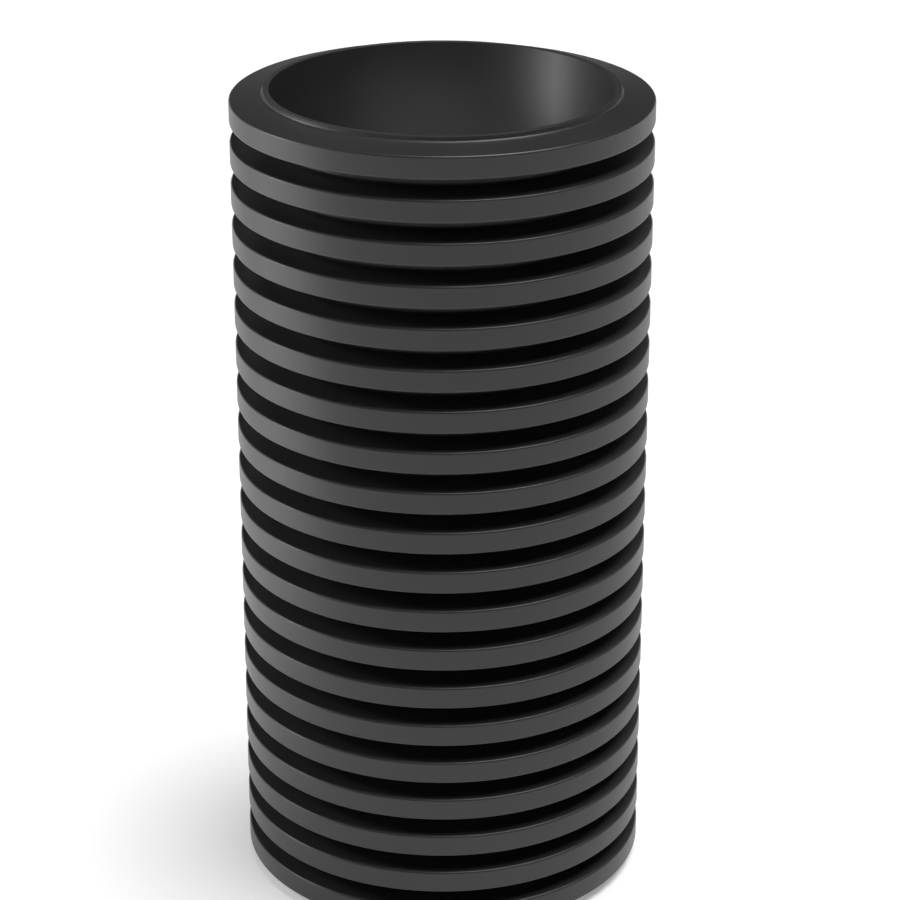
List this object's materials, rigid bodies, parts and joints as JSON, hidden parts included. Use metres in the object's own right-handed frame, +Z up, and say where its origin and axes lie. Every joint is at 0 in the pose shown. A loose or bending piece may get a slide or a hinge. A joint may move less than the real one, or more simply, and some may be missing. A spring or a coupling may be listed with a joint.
{
  "type": "inspection chamber shaft",
  "caption": "Upright corrugated plastic riser tube with a smooth bore and square hollow ribs, used as the shaft of a drain inspection chamber.",
  "frame": {"origin": "centre of the lower cut end, on the shaft's axis", "axes": "+Z up along the shaft's axis; the shaft is the same all round, so X and Y are free"},
  "size_m": [0.4999, 0.5, 1],
  "materials": {
    "black_polypropylene": "satin"
  },
  "bodies": {
    "root": {"shaft_pipe": "black_polypropylene"}
  },
  "joints": []
}
